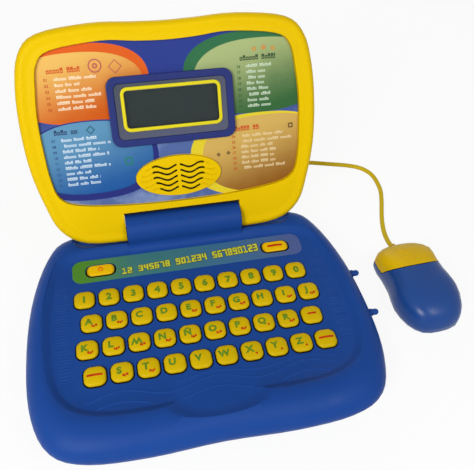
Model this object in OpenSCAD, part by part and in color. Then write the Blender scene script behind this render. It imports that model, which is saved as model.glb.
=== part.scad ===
// Toy laptop computer with a hinged lid, forty letter and number keys and a wired mouse.
// All sizes are in millimetres. The origin is the middle of the base's underside,
// +X is to the user's right, +Y runs from the user to the hinge and +Z is up.

/* [Base] */
// Width of the base at its widest point
base_w = 238; // [228:1:250]
// Twice the distance from the middle of the base to its back edge
base_d = 189; // [186:1:196]
// Height of the rim round the keyboard above the table
rim_h = 34; // [32:0.5:38]
// Height of the joint line between the bottom and top shells
joint_h = 15; // [12:0.5:16]
// Wall of the moulded shells
wall = 2; // [1.6:0.1:2.4]
// Height of the moulded feet
foot_h = 2; // [1:0.5:3]
// Radius of a moulded foot
foot_r = 8; // [6:0.5:10]

/* [Keyboard] */
// Width of the sunken keyboard deck
deck_w = 208; // [204:1:212]
// Depth of the deck below the rim
deck_drop = 4; // [3:0.5:5]
// Thickness of the deck
deck_t = 2; // [1.6:0.1:2.4]
// Distance between neighbouring keys in a row
key_pitch = 17; // [16.8:0.1:17.4]
// Distance between two rows of keys
row_pitch = 20.8; // [19:0.2:21.4]
// Sideways shift of each row from the middle line, left and right in turn
row_shift = 1.9; // [0:0.1:3]
// Middle of the row of number keys
first_row_y = 24.4; // [23:0.2:26]
// Width of a key
key_w = 14.6; // [13:0.2:15]
// Corner radius of a key
key_r = 5; // [3:0.5:6]
// Height of a key above the deck
key_rise = 3; // [2.4:0.2:3.4]
// Gap between a key and its hole in the deck
key_gap = 0.6; // [0.3:0.05:0.7]
// How far a key goes down when pressed
key_travel = 1.8; // [1:0.1:2]
// Length of an oblong button on the title strip
pill_len = 21; // [18:0.5:26]
// Width of an oblong button
pill_w = 10.6; // [9:0.2:15]
// Corner radius of an oblong button
pill_r = 4.4; // [3:0.2:6]
// Height of an oblong button above the deck
pill_rise = 1.8; // [1.4:0.2:2.4]
// Distance of the two oblong buttons from the middle line
pill_x = 65.6; // [60:0.2:72]
// Middle of the title strip
strip_y = 50.5; // [49:0.5:52]

/* [Lid] */
// Width of the lid
lid_w = 213.2; // [206:0.4:216]
// Length of the lid from the hinge axis to its top edge
lid_len = 149.4; // [146:0.2:155]
// Angle of the lid from closed to open
lid_open = 116; // [100:1:122]
// Distance of the hinge axis behind the middle of the base
hinge_y = 79; // [78:0.5:80]
// Distance from the hinge axis to the lid's front face
face_off = 5; // [4.5:0.5:6]
// Distance from the hinge axis to the lid's back face
back_off = 12; // [11:0.5:13]
// Gap that is left between the closed lid and the rim
closed_gap = 0.4; // [0.3:0.1:1]
// Half width of the hinge barrel
barrel_half = 43.2; // [38:0.2:48]
// Radius of the hinge pins
pin_r = 3; // [2:0.2:4]
// Clearance of a pin in its bore
pin_clear = 0.1; // [0.05:0.05:0.3]
// Gap between the barrel and the lid on each side
barrel_gap = 0.6; // [0.4:0.1:1]

/* [Screen and speaker] */
// Width of the raised screen frame
screen_w = 89.4; // [84:0.2:94]
// Height of the raised screen frame
screen_h = 49.3; // [44:0.1:52]
// Distance of the screen's middle from the hinge axis
screen_s = 88.5; // [86:0.5:92]
// Width of the border of the screen frame
screen_rim = 5; // [4:0.2:6]
// Width of the display glass
lcd_w = 66; // [60:0.5:70]
// Height of the display glass
lcd_h = 26.4; // [22:0.2:30]
// Half length of the oval speaker grille
grille_a = 31.5; // [28:0.5:34]
// Half height of the oval speaker grille
grille_b = 14.9; // [13:0.1:16]
// Distance of the grille's middle from the hinge axis
grille_s = 38.9; // [37:0.1:41]
// Width of a wavy sound slot
slot_w = 1.5; // [1:0.1:1.8]

/* [Mouse] */
// Length of the mouse
mouse_len = 81; // [76:1:86]
// Width of the mouse
mouse_w = 50; // [46:1:54]
// Height of the mouse
mouse_h = 28; // [26:0.5:33]
// Place of the mouse on the table, to the right of the middle of the base
mouse_x = 170.4; // [168:0.2:180]
// Place of the mouse on the table, towards the hinge
mouse_y = 8.4; // [6:0.2:10]
// Angle by which the mouse is turned to the left
mouse_turn = 2.5; // [0:0.5:5]
// Height of the joint line of the mouse shells
mouse_joint = 10; // [8:0.5:11]
// Diameter of the mouse cord
cord_d = 3.8; // [3:0.1:3.9]

/* [Pegs] */
// Diameter of a parking peg on the right side
peg_d = 4.5; // [3.5:0.1:6]
// Distance that a peg stands out of the side
peg_len = 5.8; // [5:0.2:10]
// Distance between the two pegs
peg_pitch = 37; // [32:0.5:44]

/* [Hidden] */
NUMBERS = ["1", "2", "3", "4", "5", "6", "7", "8", "9", "0"];
LETTERS_A = ["a", "b", "c", "d", "e", "f", "g", "h", "i", "j"];
LETTERS_K = ["k", "l", "m", "n", "enye", "o", "p", "q", "r", "dash"];
LETTERS_S = ["left", "s", "t", "u", "v", "w", "x", "y", "z", "right"];
KEYS = [NUMBERS, LETTERS_A, LETTERS_K, LETTERS_S];
SHELLS = [
    "base_bottom_shell", "base_top_shell", "battery_door", "case_screws", "main_board", "key_mat",
    "cord_grommet", "power_button", "play_button", "lid_back_shell", "lid_front_bezel", "panel_label",
    "screen_frame", "screen_window", "lcd_module", "speaker", "mouse_lower_shell",
    "mouse_upper_shell", "mouse_button", "mouse_cord"
];

$fn = 48;
eps = 0.01;
steps = 4; // points on an outline for each of its control points

// heights in the base
deck_z = rim_h - deck_drop;
deck_under = deck_z - deck_t;
key_skirt = 1.1; // thickness of the skirt that keeps a key in the deck
skirt_gap = 0.4; // play between the skirt and the deck
key_stem = deck_under - skirt_gap - key_skirt - 1; // lower end of a key's stem
dome_top = key_stem - key_travel - 0.4; // top of a rubber dome
mat_t = 1.2;
dome_h = 1.4;
board_t = 1.6;
board_z = dome_top - dome_h - mat_t - board_t; // underside of the circuit board
hinge_z = rim_h + face_off + closed_gap;
lid_lean = 180 - lid_open;

// outlines, as shares of half the width and half the depth
base_shape = [
    [0, -0.958], [0.388, -0.975], [0.706, -0.946], [0.884, -0.838], [0.972, -0.585], [1, -0.2],
    [0.976, 0.31], [0.882, 0.76], [0.744, 0.945], [0.378, 0.995], [0, 1]
];
deck_shape = [
    [0, -65], [0.385, -67], [0.7, -65], [0.885, -56], [0.972, -38], [1, -10],
    [0.99, 25], [0.935, 52], [0.8, 64.5], [0.4, 66.5], [0, 66.5]
];
flat_side = 0.91; // share of the base's width at which its rounded edges end
flat_front = 0.81;
flat_back = 0.885;
lid_shape = [
    [0, -8.6], [0.355, -8.6], [0.684, -6.4], [0.855, 6], [0.931, 28], [0.983, 54], [1, 84],
    [0.986, 112], [0.935, 134.5], [0.806, 147.3], [0.474, 152], [0.2, 151], [0, 150.4]
];
label_shape = [
    [0, 19.4], [0.375, 20.6], [0.691, 24.4], [0.819, 31.5], [0.859, 46], [0.873, 66], [0.878, 88],
    [0.861, 108], [0.829, 125.5], [0.73, 134], [0.414, 137.8], [0.197, 136], [0, 135.2]
];
mouse_shape = [
    [0, -1], [0.5, -0.95], [0.84, -0.72], [1, -0.33], [0.91, 0.08], [0.91, 0.42],
    [0.93, 0.76], [0.54, 0.96], [0, 1]
];

function mirrored(half) = concat(half, [for (i = [len(half) - 2:-1:1]) [-half[i][0], half[i][1]]]);

function between(a, b, c, d, t) =
    b + (c - a) * t / 2 + (2 * a - 5 * b + 4 * c - d) * t * t / 2 + (3 * b - a - 3 * c + d) * t * t * t / 2;

function smooth(points, count = steps) = let (n = len(points)) [
    for (i = [0:n - 1]) for (s = [0:count - 1])
        between(points[(i + n - 1) % n], points[i], points[(i + 1) % n], points[(i + 2) % n], s / count)
];

function inset(line, t) = let (n = len(line)) [
    for (i = [0:n - 1])
        let (d = line[(i + 1) % n] - line[(i + n - 1) % n]) line[i] + t * [-d[1], d[0]] / norm(d)
];

// The line that lies between two others, at a share t of the way.
function toward(a, b, t) = [for (i = [0:len(a) - 1]) a[i] + (b[i] - a[i]) * t];

function level(line, z) = [for (p = line) [p[0], p[1], z]];

function ellipse(a, b, count = 48) = [for (i = [0:count - 1]) [a * cos(360 * i / count), b * sin(360 * i / count)]];

base_line = smooth(mirrored([for (p = base_shape) [p[0] * base_w / 2, p[1] * base_d / 2]]));
flat_line = [for (p = base_line) [p[0] * flat_side, p[1] * (p[1] < 0 ? flat_front : flat_back)]];
deck_line = smooth(mirrored([for (p = deck_shape) [p[0] * deck_w / 2, p[1]]]));
lid_line = smooth(mirrored([for (p = lid_shape) [p[0] * lid_w / 2, p[1] * (p[1] > 0 ? lid_len / 152 : 1)]]));
label_line = smooth(mirrored([for (p = label_shape) [p[0] * lid_w / 2, p[1]]]));
mouse_line = smooth(mirrored([for (p = mouse_shape) [p[0] * mouse_w / 2, p[1] * mouse_len / 2]]), 2);

// Triangles between ring number k and the next one, for rings of n points.
function strip_faces(k, next, n) = [
    for (i = [0:n - 1]) let (j = (i + 1) % n) each [
        [k * n + i, next * n + i, next * n + j],
        [k * n + i, next * n + j, k * n + j]
    ]
];

// A closed tube-like ring: the last ring of points joins the first.
module band(rings) {
    n = len(rings[0]);
    polyhedron(
        points = [for (ring = rings) each ring],
        faces = [for (k = [0:len(rings) - 1]) each strip_faces(k, (k + 1) % len(rings), n)]
    );
}

// A solid through rings from bottom to top, closed by a flat face at each end.
module loft(rings) {
    n = len(rings[0]);
    last = len(rings) - 1;
    polyhedron(
        points = [for (ring = rings) each ring],
        faces = concat(
            [[for (i = [0:n - 1]) i]],
            [for (k = [0:last - 1]) each strip_faces(k, k + 1, n)],
            [[for (i = [n - 1:-1:0]) last * n + i]]
        )
    );
}

module plate(line, z0, z1) {
    translate([0, 0, z0]) linear_extrude(z1 - z0) polygon(line);
}

// A flat plate with rounded corners, made of squares and circles.
module rounded(w, h, r) {
    square([w, h - 2 * r], center = true);
    square([w - 2 * r, h], center = true);
    for (x = [-1, 1], y = [-1, 1]) translate([x * (w / 2 - r), y * (h / 2 - r)]) circle(r);
}

module rounded_plate(w, h, r, z0, z1) {
    translate([0, 0, z0]) linear_extrude(z1 - z0) rounded(w, h, r);
}

module along_x(x0, x1, r) {
    translate([x0, 0, 0]) rotate([0, 90, 0]) cylinder(r = r, h = x1 - x0);
}

module at_hinge() {
    translate([0, hinge_y, hinge_z]) children();
}

// Puts the lid's own frame in place: +X across, +Y up the lid from the axis, +Z out of its face.
module on_lid() {
    at_hinge() rotate([lid_lean, 0, 0]) children();
}

module both_sides() {
    children();
    mirror([1, 0, 0]) children();
}

// ---------------------------------------------------------------- base

screw_r = 1.4;
screw_clear = 0.15;
post_r = 4;
screw_places = [
    [21 - base_w / 2, 44.5 - base_d / 2], [base_w / 2 - 21, 44.5 - base_d / 2], [31 - base_w / 2, base_d / 2 - 34.5],
    [base_w / 2 - 31, base_d / 2 - 34.5], [0, 24.5 - base_d / 2], [0, hinge_y - 3]
];
foot_places = [
    [39 - base_w / 2, 38.5 - base_d / 2], [base_w / 2 - 39, 38.5 - base_d / 2],
    [39 - base_w / 2, base_d / 2 - 28.5], [base_w / 2 - 39, base_d / 2 - 28.5]
];
floor_z = foot_h;
battery_len = 52; // inside of the well for three AAA cells
battery_wide = 36;
battery_y = 28;
battery_top = board_z - 0.5;
hump_rim = 14; // flat border of the battery housing round the well
door_lip = 4;
door_t = 1.2;
door_gap = 0.3;
door_screw_y = battery_y + battery_wide / 2 + door_lip / 2;
boss_r = 4.2; // boss of the battery door, which takes its screw
boss_top = 3.2;
boss_gap = 0.4;
board_w = 9 * key_pitch + 13;
board_front = first_row_y - 3 * row_pitch - 11.5;
board_back = strip_y + 10.5;
board_y = (board_front + board_back) / 2;
board_d = board_back - board_front;
prop_x = 3.5 * key_pitch; // props stand between the rows of keys
prop_places = [for (x = [-prop_x, prop_x]) for (row = [0.5, 2.5]) [x, first_row_y - row * row_pitch]];
prop_r = 1.6;

// The bottom tray: curved side walls, a flat floor, feet, the battery well and screw posts.
module base_bottom_shell() {
    color("royalblue") difference() {
        union() {
            band([
                level(flat_line, floor_z),
                level(toward(base_line, flat_line, 0.94), floor_z),
                level(toward(base_line, flat_line, 0.64), floor_z + 2),
                level(toward(base_line, flat_line, 0.38), floor_z + 5.5),
                level(toward(base_line, flat_line, 0.17), floor_z + 10),
                level(toward(base_line, flat_line, 0.09), joint_h),
                level(inset(toward(base_line, flat_line, 0.09), wall), joint_h),
                level(inset(toward(base_line, flat_line, 0.17), wall), floor_z + 10),
                level(inset(toward(base_line, flat_line, 0.38), wall * 0.8), floor_z + 6.3),
                level(inset(toward(base_line, flat_line, 0.64), wall * 0.5), floor_z + 3.5),
                level(flat_line, floor_z + wall)
            ]);
            plate(toward(base_line, flat_line, 0.95), floor_z, floor_z + wall - 0.4);
            for (p = foot_places) translate([p[0], p[1], 0]) cylinder(r = foot_r, h = floor_z + wall / 2);
            for (p = screw_places) translate([p[0], p[1], floor_z]) cylinder(r = post_r, h = joint_h - floor_z);
            translate([0, battery_y, 0]) {
                rounded_plate(battery_len + 2 * wall, battery_wide + 2 * wall, 3, door_t, battery_top);
                rounded_plate(battery_len + 2 * hump_rim, battery_wide + 2 * hump_rim, 8, 0, floor_z + wall / 2);
            }
            translate([0, door_screw_y, door_t]) cylinder(r = boss_r + boss_gap + 1, h = 9);
        }
        translate([0, battery_y, 0]) {
            rounded_plate(battery_len, battery_wide, 2, -1, battery_top - wall);
            rounded_plate(battery_len + 2 * door_lip, battery_wide + 2 * door_lip, 4, -1, door_t);
        }
        translate([0, door_screw_y, 0]) cylinder(r = boss_r + boss_gap, h = boss_top + 0.2);
        translate([0, door_screw_y, 0]) cylinder(r = screw_r + screw_clear, h = 9);
        for (p = screw_places) translate([p[0], p[1], -1]) {
            cylinder(r = screw_r + screw_clear, h = joint_h + 2);
            cylinder(r = 3, h = floor_z + 2.5);
        }
    }
}

// The battery door, flush with the floor, with stiffening ribs and a hole for its screw.
module battery_door() {
    color("royalblue") difference() {
        union() {
            translate([0, battery_y, 0]) rounded_plate(
                battery_len + 2 * (door_lip - door_gap), battery_wide + 2 * (door_lip - door_gap), 4 - door_gap,
                0, door_t
            );
            for (x = [-16, 0, 16]) translate([x - 0.6, battery_y - 15, door_t / 2]) cube([1.2, 30, 2.4]);
            translate([0, door_screw_y, 0]) cylinder(r = boss_r, h = boss_top);
        }
        translate([0, door_screw_y, -1]) cylinder(r = screw_r + screw_clear, h = 5);
        translate([0, door_screw_y, -1]) cylinder(r = head_r + 0.3, h = 2.6);
    }
}

head_r = 2.7;

module screw(length) {
    difference() {
        translate([0, 0, 0.3]) cylinder(r = head_r, h = 1.2);
        translate([-2, -0.3, 0]) cube([4, 0.6, 0.8]);
    }
    translate([0, 0, 1.4]) cylinder(r = screw_r, h = length);
}

// Screws that hold the two shells together, and the one in the battery door.
module case_screws() {
    color("silver") {
        for (p = screw_places) translate([p[0], p[1], floor_z]) screw(joint_h - floor_z + 4);
        translate([0, door_screw_y, 0]) screw(6.5);
    }
}

pocket_r = 9.7; // radius of the trough in which a lobe of the lid turns
pocket_end = 0.352 * lid_w; // where the trough's cylinder ends in a ball
blend_r = 6; // concave blend from the barrel to the deck
peg_z = 24;
collar_out = 0.8; // flat collar round the foot of a peg
collar_root = 1.6; // depth of the collar in the side wall
collar_edge = 0.45;
port_x = 30;
port_z = 20;
port_r = 3.4;
relief_len = 10;
scoop_y = -64;
scoop_a = 31;
scoop_b = 17;

function key_x(row, col) = (col - 4.5) * key_pitch + (row % 2 == 0 ? -row_shift : row_shift);
function key_y(row) = first_row_y - row * row_pitch;

module key_holes() {
    for (r = [0:3]) for (c = [0:9]) translate([key_x(r, c), key_y(r), 0])
        rounded_plate(key_w + 2 * key_gap, key_w + 2 * key_gap, key_r + key_gap, deck_under - 1, rim_h);
    both_sides() translate([pill_x, strip_y, 0])
        rounded_plate(pill_len + 2 * key_gap, pill_w + 2 * key_gap, pill_r + key_gap, deck_under - 1, rim_h);
}

// The barrel between the two lobes of the lid, with a concave blend down to the deck.
module hinge_barrel() {
    blend_z = deck_z + blend_r - hinge_z;
    blend_y = -sqrt(pow(back_off + blend_r, 2) - pow(blend_z, 2));
    last_angle = atan2(-blend_z, -blend_y);
    low = deck_under - hinge_z;
    difference() {
        union() {
            at_hinge() along_x(-barrel_half, barrel_half, back_off);
            at_hinge() translate([-barrel_half, 0, 0]) rotate([90, 0, 90]) linear_extrude(2 * barrel_half) polygon(concat(
                [for (i = [0:12]) let (a = -90 + i * (90 + last_angle) / 12) [blend_y, blend_z] + blend_r * [cos(a), sin(a)]],
                [[0, 0], [0, low], [blend_y, low]]
            ));
        }
        translate([-barrel_half - 1, hinge_y - 30, joint_h]) cube([2 * barrel_half + 2, 60, deck_under - joint_h]);
        at_hinge() along_x(-barrel_half + 8, barrel_half - 8, back_off - wall);
        at_hinge() along_x(-barrel_half - 1, barrel_half + 1, pin_r + pin_clear);
    }
}

// The trough for one lobe of the lid, open to the back.
module hinge_pocket(grow) {
    at_hinge() along_x(barrel_half, pocket_end, pocket_r + grow);
    at_hinge() translate([pocket_end, 0, 0]) sphere(r = pocket_r + grow);
    translate([barrel_half, hinge_y, hinge_z - pocket_r - grow])
        cube([pocket_end + pocket_r + grow - barrel_half, 30, pocket_r + grow]);
}

// Half the base's width at a distance y from its middle.
function side_x(y) = lookup(y, [for (p = base_line) if (p[0] > base_w / 4) [p[1], p[0]]]);

// Two pegs with a collar and a round end on the right side, on which the mouse is parked.
module pegs() {
    for (y = [-peg_pitch / 2, peg_pitch / 2]) translate([side_x(y), y, peg_z]) {
        rotate([0, 90, 0]) cylinder(d = peg_d, h = peg_len - peg_d / 2);
        along_x(-collar_root, collar_out, peg_d / 2 + collar_edge);
        translate([peg_len - peg_d / 2, 0, 0]) sphere(d = peg_d);
    }
}

// The shallow bowl of the thumb scoop in the front of the rim.
module scoop_bowl(grow) {
    translate([0, scoop_y, 0]) loft([
        level(ellipse(scoop_a - 9 + grow, scoop_b - 8 + grow), deck_z - grow),
        level(ellipse(scoop_a - 4.5 + grow, scoop_b - 4.5 + grow), deck_z + 0.7 - grow),
        level(ellipse(scoop_a - 0.5 + grow, scoop_b - 1 + grow), rim_h - 1.7 - grow),
        level(ellipse(scoop_a + 3 + grow, scoop_b + 2.5 + grow), rim_h - 0.4 - grow),
        level(ellipse(scoop_a + 8 + grow, scoop_b + 6 + grow), rim_h + 0.6 - grow)
    ]);
}

// Screw posts that end in the deck. Beside the deck they go on up to the rim.
module screw_posts() {
    for (p = screw_places) translate([p[0], p[1], joint_h])
        cylinder(r = post_r, h = deck_z - deck_t / 2 - joint_h);
    difference() {
        for (p = screw_places) if (p[1] < hinge_y - post_r) translate([p[0], p[1], joint_h])
            cylinder(r = post_r, h = rim_h - wall / 2 - joint_h);
        plate(inset(deck_line, -3), deck_z - deck_t / 2, rim_h);
    }
}

// The top shell: rounded rim, sunken deck with key holes, thumb scoop, barrel, troughs and pegs.
module base_top_shell() {
    color("royalblue") difference() {
        union() {
            band([
                level(toward(base_line, flat_line, 0.09), joint_h),
                level(toward(base_line, flat_line, 0.03), joint_h + 3),
                level(base_line, joint_h + 6.5),
                level(toward(base_line, flat_line, 0.07), rim_h - 9),
                level(toward(base_line, flat_line, 0.25), rim_h - 5),
                level(toward(base_line, flat_line, 0.55), rim_h - 1.9),
                level(toward(base_line, flat_line, 0.8), rim_h - 0.4),
                level(flat_line, rim_h),
                level(inset(deck_line, -3.4), rim_h),
                level(inset(deck_line, -1.6), rim_h - 0.8),
                level(inset(deck_line, 1.2), deck_z + 0.9),
                level(inset(deck_line, 3), deck_z),
                level(inset(deck_line, 3), deck_under),
                level(inset(deck_line, 0.2), deck_under),
                level(inset(deck_line, -3), rim_h - wall),
                level(flat_line, rim_h - wall),
                level(inset(toward(base_line, flat_line, 0.4), wall * 0.8), rim_h - 5),
                level(inset(base_line, wall), joint_h + 7),
                level(inset(toward(base_line, flat_line, 0.09), wall), joint_h)
            ]);
            plate(inset(deck_line, -1), deck_under, deck_z - 0.2);
            plate(inset(deck_line, 2.8), deck_under, deck_z);
            intersection() {
                both_sides() hinge_pocket(wall);
                union() {
                    plate(toward(base_line, flat_line, 0.7), joint_h, rim_h - 1.5);
                    plate(inset(base_line, 2.6), joint_h, rim_h - 6.5);
                }
            }
            intersection() {
                difference() {
                    scoop_bowl(wall);
                    plate(inset(deck_line, -0.5), 0, rim_h + 1);
                }
                plate(toward(base_line, flat_line, 0.7), deck_under, rim_h - 2);
            }
            hinge_barrel();
            pegs();
            screw_posts();
            for (p = prop_places) translate([p[0], p[1], board_z + board_t])
                cylinder(r = prop_r, h = deck_z - deck_t / 2 - board_z - board_t);
        }
        both_sides() hinge_pocket(0);
        scoop_bowl(0);
        key_holes();
        translate([port_x, base_d / 2 - 10, port_z]) rotate([-90, 0, 0]) cylinder(r = port_r, h = 20);
        for (p = screw_places) translate([p[0], p[1], joint_h - 1]) cylinder(r = screw_r + screw_clear, h = 8);
    }
}

// Circuit board under the keys, with a sealed chip on its underside.
module main_board() {
    color("darkgreen") union() {
        translate([0, board_y, 0]) rounded_plate(board_w, board_d, 3, board_z, board_z + board_t);
        translate([55, 30, board_z - 2]) cylinder(r1 = 6, r2 = 8, h = 2 + eps);
    }
}

// Rubber mat with one dome under each key.
module key_mat() {
    top = board_z + board_t + mat_t;
    color("silver") difference() {
        union() {
            translate([0, board_y, 0]) rounded_plate(board_w, board_d, 3, board_z + board_t, top);
            for (r = [0:3]) for (c = [0:9]) translate([key_x(r, c), key_y(r), top - eps])
                cylinder(r1 = 5, r2 = 3.6, h = dome_h + eps);
            both_sides() translate([pill_x, strip_y, top - eps]) cylinder(r1 = 5, r2 = 3.6, h = dome_h + eps);
        }
        for (p = prop_places) translate([p[0], p[1], board_z]) cylinder(r = prop_r + 0.4, h = 10);
    }
}

// Rubber strain relief, clipped in the back wall.
module cord_grommet() {
    color("gold") translate([port_x, base_d / 2, port_z]) rotate([-90, 0, 0]) {
        translate([0, 0, -wall - 3.3]) cylinder(r = port_r + 1.2, h = 1.2);
        translate([0, 0, -wall - 2.2]) cylinder(r = port_r - 0.1, h = wall + 2.8);
        translate([0, 0, 0.1]) cylinder(r = port_r + 1.2, h = 1.4);
        translate([0, 0, 1.4]) cylinder(r1 = port_r, r2 = cord_d / 2 + 0.6, h = relief_len - 1.4);
    }
}

// ---------------------------------------------------------------- keys

// A hollow cap with a domed top, a skirt that keeps it in the deck and a stem over its dome.
module key_form(w, d, r, rise, skirt_w, skirt_d) {
    top = deck_z + rise;
    skirt_top = deck_under - skirt_gap;
    difference() {
        union() {
            intersection() {
                rounded_plate(w, d, r, skirt_top - eps, top);
                translate([0, 0, top - 2 * w]) sphere(r = 2 * w, $fn = 96);
            }
            rounded_plate(skirt_w, skirt_d, r + 0.6, skirt_top - key_skirt, skirt_top);
        }
        rounded_plate(w - 2.6, d - 2.6, r - 1.3, skirt_top - key_skirt - 1, top - 2.6);
    }
    translate([0, 0, key_stem]) cylinder(r = 2.6, h = top - 2.4 - key_stem);
}

module letter_key(row, col) {
    skirt = min(key_pitch - 0.4, key_w + 2.2);
    color("gold") translate([key_x(row, col), key_y(row), 0])
        key_form(key_w, key_w, key_r, key_rise, skirt, skirt);
}

module pill_button(side) {
    color("gold") translate([side * pill_x, strip_y, 0])
        key_form(pill_len, pill_w, pill_r, pill_rise, pill_len + 2.2, pill_w + 2.2);
}

module power_button() {
    pill_button(-1);
}

module play_button() {
    pill_button(1);
}

// ---------------------------------------------------------------- lid

parting = -1; // joint plane of the lid's shells, measured from the axis towards the face
panel_face = face_off - 3.8; // front of the sunken panel
panel_t = 1.6;
label_t = 0.3;
label_face = panel_face + label_t;
notch_s = 14.7;
back_notch_s = 12.8; // the back shell closes most of the slit above the barrel
notch_half = barrel_half + barrel_gap;
frame_face = face_off + 0.2;
window_t = 1.2;
window_face = frame_face - 0.8;
frame_r = 7;
grille_face = face_off - 0.4;

module lid_back_solid(thin) {
    loft([
        level(inset(lid_line, 14), -back_off + thin),
        level(inset(lid_line, 9 + thin * 0.3), -back_off + 0.4 + thin),
        level(inset(lid_line, 5 + thin * 0.5), -back_off + 1.8 + thin),
        level(inset(lid_line, 2 + thin), -back_off + 4.5 + thin * 0.4),
        level(inset(lid_line, 0.5 + thin), -4),
        level(inset(lid_line, thin), parting + (thin > 0 ? eps : 0))
    ]);
}

module notch(top, grow, z0, z1) {
    translate([-notch_half - grow, -30, z0]) cube([2 * (notch_half + grow), 30 + top + grow, z1 - z0]);
}

// The back shell of the lid with its walls, the notch for the barrel and the two hinge pins.
module lid_back_shell() {
    color("gold") on_lid() {
        difference() {
            lid_back_solid(0);
            difference() {
                lid_back_solid(wall);
                notch(notch_s, wall, -back_off - 1, 1);
            }
            notch(back_notch_s, 0, -back_off - 1, 1);
        }
        both_sides() along_x(barrel_half - 7, notch_half + wall / 2, pin_r);
    }
}

// One wavy sound slot, drawn as a strip of constant height that follows a sine.
module wave(x0, x1, y, width) {
    count = 18;
    xs = [for (i = [0:count]) x0 + (x1 - x0) * i / count];
    function rise(x) = y + wave_rise * cos(360 * x / wave_len);
    polygon(concat([for (x = xs) [x, rise(x) + width / 2]], [for (i = [count:-1:0]) [xs[i], rise(xs[i]) - width / 2]]));
}

wave_len = 16.7;
wave_rise = 1.35;
slot_pitch = 4.2;
slot_drop = 1.2; // the slots sit this much below the middle of the grille
slot_reach = [19.2, 19.3, 19, 17.4, 15];

// The yellow frame round the printed panel, with a bead at its rim, the sunken panel and the oval grille.
module lid_front_bezel() {
    color("gold") on_lid() difference() {
        union() {
            difference() {
                loft([
                    level(lid_line, parting),
                    level(inset(lid_line, 0.3), parting + 2.2),
                    level(inset(lid_line, 1.4), face_off - 1.8),
                    level(inset(lid_line, 3.2), face_off - 0.4),
                    level(inset(lid_line, 5.2), face_off),
                    level(inset(lid_line, 7.6), face_off - 0.9),
                    level(inset(lid_line, 10), face_off - 0.4)
                ]);
                plate(label_line, panel_face, face_off + 1);
                difference() {
                    plate(inset(lid_line, wall + 0.6), parting - 1, panel_face - panel_t);
                    notch(notch_s, wall, parting - 2, face_off);
                }
            }
            translate([0, grille_s, 0]) intersection() {
                plate(ellipse(grille_a, grille_b), panel_face - eps, grille_face);
                translate([0, 0, grille_face - 400]) sphere(r = 400, $fn = 200);
            }
        }
        notch(notch_s, 0, parting - 1, face_off + 1);
        both_sides() along_x(notch_half - 1, notch_half + wall / 2 + pin_clear, pin_r + pin_clear);
        translate([0, screen_s, 0]) rounded_plate(lcd_w + 6, lcd_h + 6, 2, parting - 1, panel_face + 1);
        translate([0, grille_s, 0]) plate(ellipse(grille_a - wall, grille_b - wall), parting - 1, grille_face - 2.2);
        translate([0, grille_s, panel_face]) linear_extrude(6) for (i = [0:4]) {
            wave(1.2, slot_reach[i], (2 - i) * slot_pitch - slot_drop, slot_w);
            wave(-slot_reach[i], -1.2, (2 - i) * slot_pitch - slot_drop, slot_w);
        }
    }
}

// The printed sheet in the sunken panel, open round the screen frame and the grille.
module panel_label() {
    color("lightskyblue") on_lid() difference() {
        plate(inset(label_line, 0.3), panel_face, label_face);
        translate([0, screen_s, 0]) rounded_plate(lcd_w + 6, lcd_h + 6, 2, 0, face_off);
        translate([0, grille_s, 0]) plate(ellipse(grille_a + 0.3, grille_b + 0.3), 0, face_off);
    }
}

// The raised blue frame round the window.
module screen_frame() {
    hole_w = screen_w - 2 * screen_rim;
    hole_h = screen_h - 2 * screen_rim;
    color("mediumblue") on_lid() translate([0, screen_s, 0]) difference() {
        rounded_plate(screen_w, screen_h, frame_r, label_face, frame_face);
        rounded_plate(hole_w, hole_h, frame_r - 3, window_face - window_t, frame_face + 1);
        rounded_plate(hole_w - 4, hole_h - 4, frame_r - 4, 0, frame_face + 1);
    }
}

// The clear window, seated on the ledge of the screen frame.
module screen_window() {
    gap = 0.2;
    color("dimgray") on_lid() translate([0, screen_s, 0]) rounded_plate(
        screen_w - 2 * (screen_rim + gap), screen_h - 2 * (screen_rim + gap), frame_r - 3 - gap,
        window_face - window_t, window_face
    );
}

// The display glass in the panel's opening, on its small board behind the panel.
module lcd_module() {
    back = panel_face - panel_t;
    color("darkslategray") on_lid() translate([0, screen_s, 0]) {
        rounded_plate(lcd_w + 4, lcd_h + 4, 1, back - eps, panel_face - 0.2);
        rounded_plate(lcd_w + 16, lcd_h + 14, 2, back - 1.6, back);
    }
}

// The speaker behind the grille: flange, cone basket and magnet.
module speaker() {
    back = panel_face - panel_t;
    color("dimgray") on_lid() translate([0, grille_s, 0]) {
        translate([0, 0, back - 1.2]) cylinder(r = 16, h = 1.2);
        translate([0, 0, back - 4.2]) cylinder(r1 = 9, r2 = 14, h = 3 + eps);
        translate([0, 0, back - 7.5]) cylinder(r = 8, h = 3.3 + eps);
    }
}

// ---------------------------------------------------------------- mouse and cord

nose = mouse_len / 2 + 4; // end of the mouse's strain relief, from its middle
relief_z = 6;
button_y = 6.7; // back edge of the mouse button, on top of the mouse
button_lean = 31.8; // the cut at this edge leans back by this angle
button_gap = 0.6;
press_gap = 1; // room below the button's rim for its travel
pivot_gap = 0.7;

module at_mouse() {
    translate([mouse_x, mouse_y, 0]) rotate([0, 0, mouse_turn]) children();
}

// A ring of the mouse's skin: its outline scaled, with its height falling off towards the ends.
function mouse_ring(share, z, thin = 0) = [
    for (p = mouse_line) let (
        s = share * (1 - 2 * thin / mouse_w),
        fall = z > mouse_joint ? 1 - 0.2 * pow((p[1] * share + 6) / (mouse_len / 2), 2) : 1
    ) [p[0] * s, p[1] * s, z > mouse_joint ? mouse_joint + (z - mouse_joint) * fall - thin : max(z, 0.8 + thin)]
];

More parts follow.
